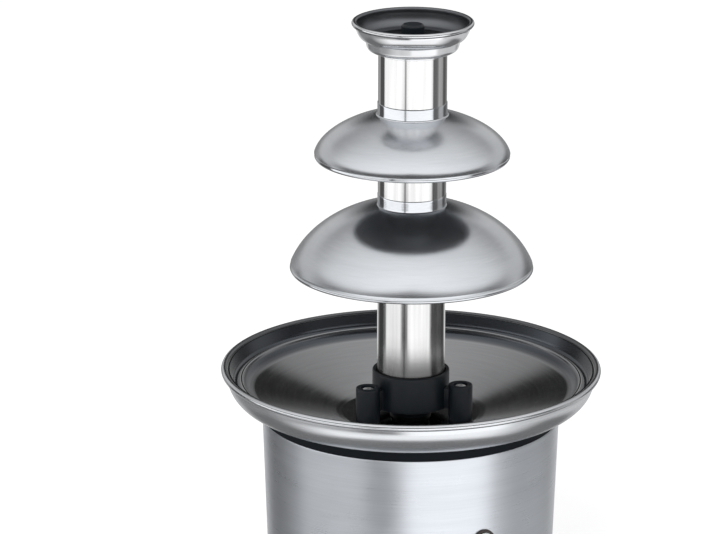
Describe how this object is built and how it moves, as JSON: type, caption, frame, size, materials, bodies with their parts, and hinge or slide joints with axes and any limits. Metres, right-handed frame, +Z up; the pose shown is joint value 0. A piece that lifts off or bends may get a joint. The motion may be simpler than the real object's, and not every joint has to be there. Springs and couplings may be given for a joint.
{
  "type": "chocolate fountain",
  "caption": "Table-top fountain: a motor-driven screw in a steel tube lifts melted chocolate from a heated bowl to a crown cup, and it runs back down over domed tiers.",
  "frame": {"origin": "on the table, under the middle of the base", "axes": "+Z up along the tower's axis; -Y towards the front, where the buttons are; +X to the right seen from the front"},
  "size_m": [0.24, 0.24, 0.3806],
  "materials": {
    "polished_steel": "polished",
    "satin_steel": "satin, spun",
    "brushed_steel": "brushed around the base",
    "black_coat": "glossy non-stick coat",
    "black_plastic": "fine moulded",
    "bezel_brown": "satin",
    "rubber": "matte",
    "zinc_steel": "zinc plated",
    "bronze": "sintered",
    "white_plastic": "moulded",
    "cast_aluminium": "as cast",
    "dark_steel": "oxide"
  },
  "bodies": {
    "base": {"bowl_skirt": "polished_steel", "bowl_dish": "black_coat", "tower_stand": "black_plastic", "stand_screws": "polished_steel", "stand_pillars": "zinc_steel", "shaft_bush": "black_plastic", "bush_nut": "zinc_steel", "shaft_seal": "rubber", "motor_can": "zinc_steel", "motor_magnets": "dark_steel", "motor_cap": "white_plastic", "motor_brushes": "dark_steel", "motor_screws": "zinc_steel", "gearbox_case": "cast_aluminium", "gearbox_cover": "cast_aluminium", "gearbox_screws": "zinc_steel", "heater_plate": "cast_aluminium", "heating_tube": "dark_steel", "thermostat": "white_plastic", "thermal_fuse": "white_plastic", "fuse_clip": "zinc_steel", "seat_ring": "black_plastic", "chassis_plate": "zinc_steel", "base_shell": "brushed_steel", "bottom_pan": "black_plastic", "tie_pillars": "zinc_steel", "bottom_screws": "zinc_steel", "foot_front": "rubber", "foot_rear": "rubber", "foot_left": "rubber", "foot_right": "rubber", "heat_bezel": "bezel_brown", "flow_bezel": "bezel_brown", "heat_switch": "black_plastic", "flow_switch": "black_plastic", "bezel_nuts": "zinc_steel", "cord_gland": "black_plastic", "gland_nut": "black_plastic", "terminal_block": "white_plastic"},
    "drive": {"drive_shaft": "polished_steel", "drive_head": "black_plastic", "output_gear": "white_plastic"},
    "rotor": {"motor_shaft": "polished_steel", "motor_pinion": "bronze", "armature": "dark_steel", "commutator": "bronze"},
    "auger": {"auger": "black_plastic"},
    "tower": {"tower_tube": "polished_steel", "crown_cup": "polished_steel", "upper_tier": "satin_steel", "lower_tier": "satin_steel"},
    "heat_button": {"heat_button": "brushed_steel"},
    "flow_button": {"flow_button": "brushed_steel"}
  },
  "joints": [
    {"name": "drive_spin", "type": "hinge", "parent": "base", "child": "drive", "pos_m": [0, 0, 0.1], "axis": [0, 0, 1], "continuous": true},
    {"name": "motor_spin", "type": "hinge", "parent": "base", "child": "rotor", "pos_m": [0, 0.03, 0.1], "axis": [0, 0, 1], "continuous": true},
    {"name": "auger_lift", "type": "slide", "parent": "drive", "child": "auger", "axis": [0, 0, 1], "range_m": [0, 0.25]},
    {"name": "tower_lift", "type": "slide", "parent": "base", "child": "tower", "axis": [0, 0, 1], "range_m": [0, 0.25]},
    {"name": "heat_press", "type": "slide", "parent": "base", "child": "heat_button", "axis": [0.153, 0.9882, 0], "range_m": [0, 0.0025], "stiffness_N_per_m": 400},
    {"name": "flow_press", "type": "slide", "parent": "base", "child": "flow_button", "axis": [-0.153, 0.9882, 0], "range_m": [0, 0.0025], "stiffness_N_per_m": 400}
  ],
  "couplings": [
    {"joint": "motor_spin", "follows": "drive_spin", "ratio": -4}
  ]
}
